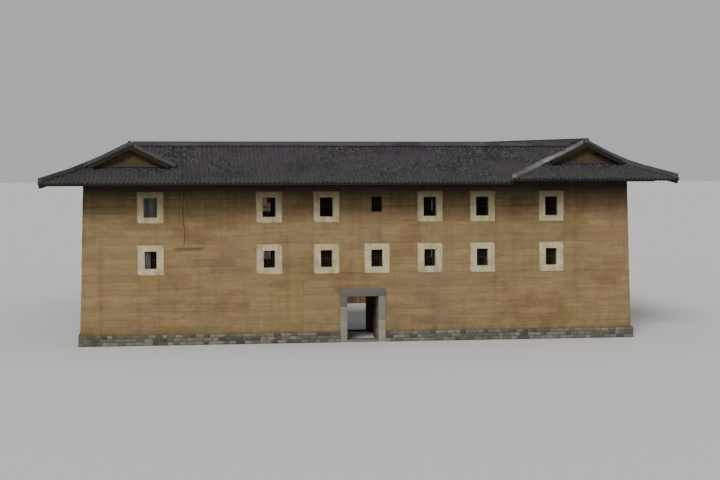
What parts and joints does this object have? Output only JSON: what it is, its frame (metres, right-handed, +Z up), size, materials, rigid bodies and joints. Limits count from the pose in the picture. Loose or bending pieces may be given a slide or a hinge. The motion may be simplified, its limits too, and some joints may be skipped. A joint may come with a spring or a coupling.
{
  "type": "rectangular tulou",
  "caption": "Rectangular rammed earth house round an open court, with timber galleries and a tiled ring roof with gables.",
  "frame": {"origin": "on the ground, under the middle of the roof", "axes": "+X along the front to the right as seen from outside, +Y from the front to the back, +Z up"},
  "size_m": [35.6996, 30.6996, 11.5131],
  "materials": {
    "rammed_earth": "rough ochre earth, layered and weathered",
    "footing_stone": "rough rubble",
    "gate_stone": "dressed granite",
    "roof_tile": "unglazed grey tile, weathered",
    "ridge_lime": "weathered lime mortar over tile",
    "timber": "bare weathered fir"
  },
  "bodies": {
    "root": {"back_gallery_ground": "timber", "back_gallery_second": "timber", "back_gallery_third": "timber", "back_inner_slope": "roof_tile", "back_left_gable_wall": "rammed_earth", "back_outer_slope": "roof_tile", "back_ridge": "ridge_lime", "back_right_gable_wall": "rammed_earth", "back_right_skirt": "roof_tile", "back_room_wall": "timber", "back_wall_left": "rammed_earth", "back_wall_right": "rammed_earth", "footing": "footing_stone", "front_gallery_ground": "timber", "front_gallery_second": "timber", "front_gallery_third": "timber", "front_inner_slope": "roof_tile", "front_left_gable_wall": "rammed_earth", "front_outer_slope": "roof_tile", "front_ridge": "ridge_lime", "front_right_gable_wall": "rammed_earth", "front_right_skirt": "roof_tile", "front_room_wall": "timber", "front_wall_left": "rammed_earth", "front_wall_over_gate": "rammed_earth", "front_wall_right": "rammed_earth", "gate_frame": "gate_stone", "gate_leaf_left": "timber", "gate_leaf_right": "timber", "left_gallery_ground": "timber", "left_gallery_second": "timber", "left_gallery_third": "timber", "left_inner_slope": "roof_tile", "left_ridge": "ridge_lime", "left_roof": "roof_tile", "left_room_wall": "timber", "left_wall": "rammed_earth", "right_gallery_ground": "timber", "right_gallery_second": "timber", "right_gallery_third": "timber", "right_inner_slope": "roof_tile", "right_ridge": "ridge_lime", "right_roof": "roof_tile", "right_room_wall": "timber", "right_wall": "rammed_earth", "second_floor": "timber", "third_floor": "timber"}
  },
  "joints": []
}
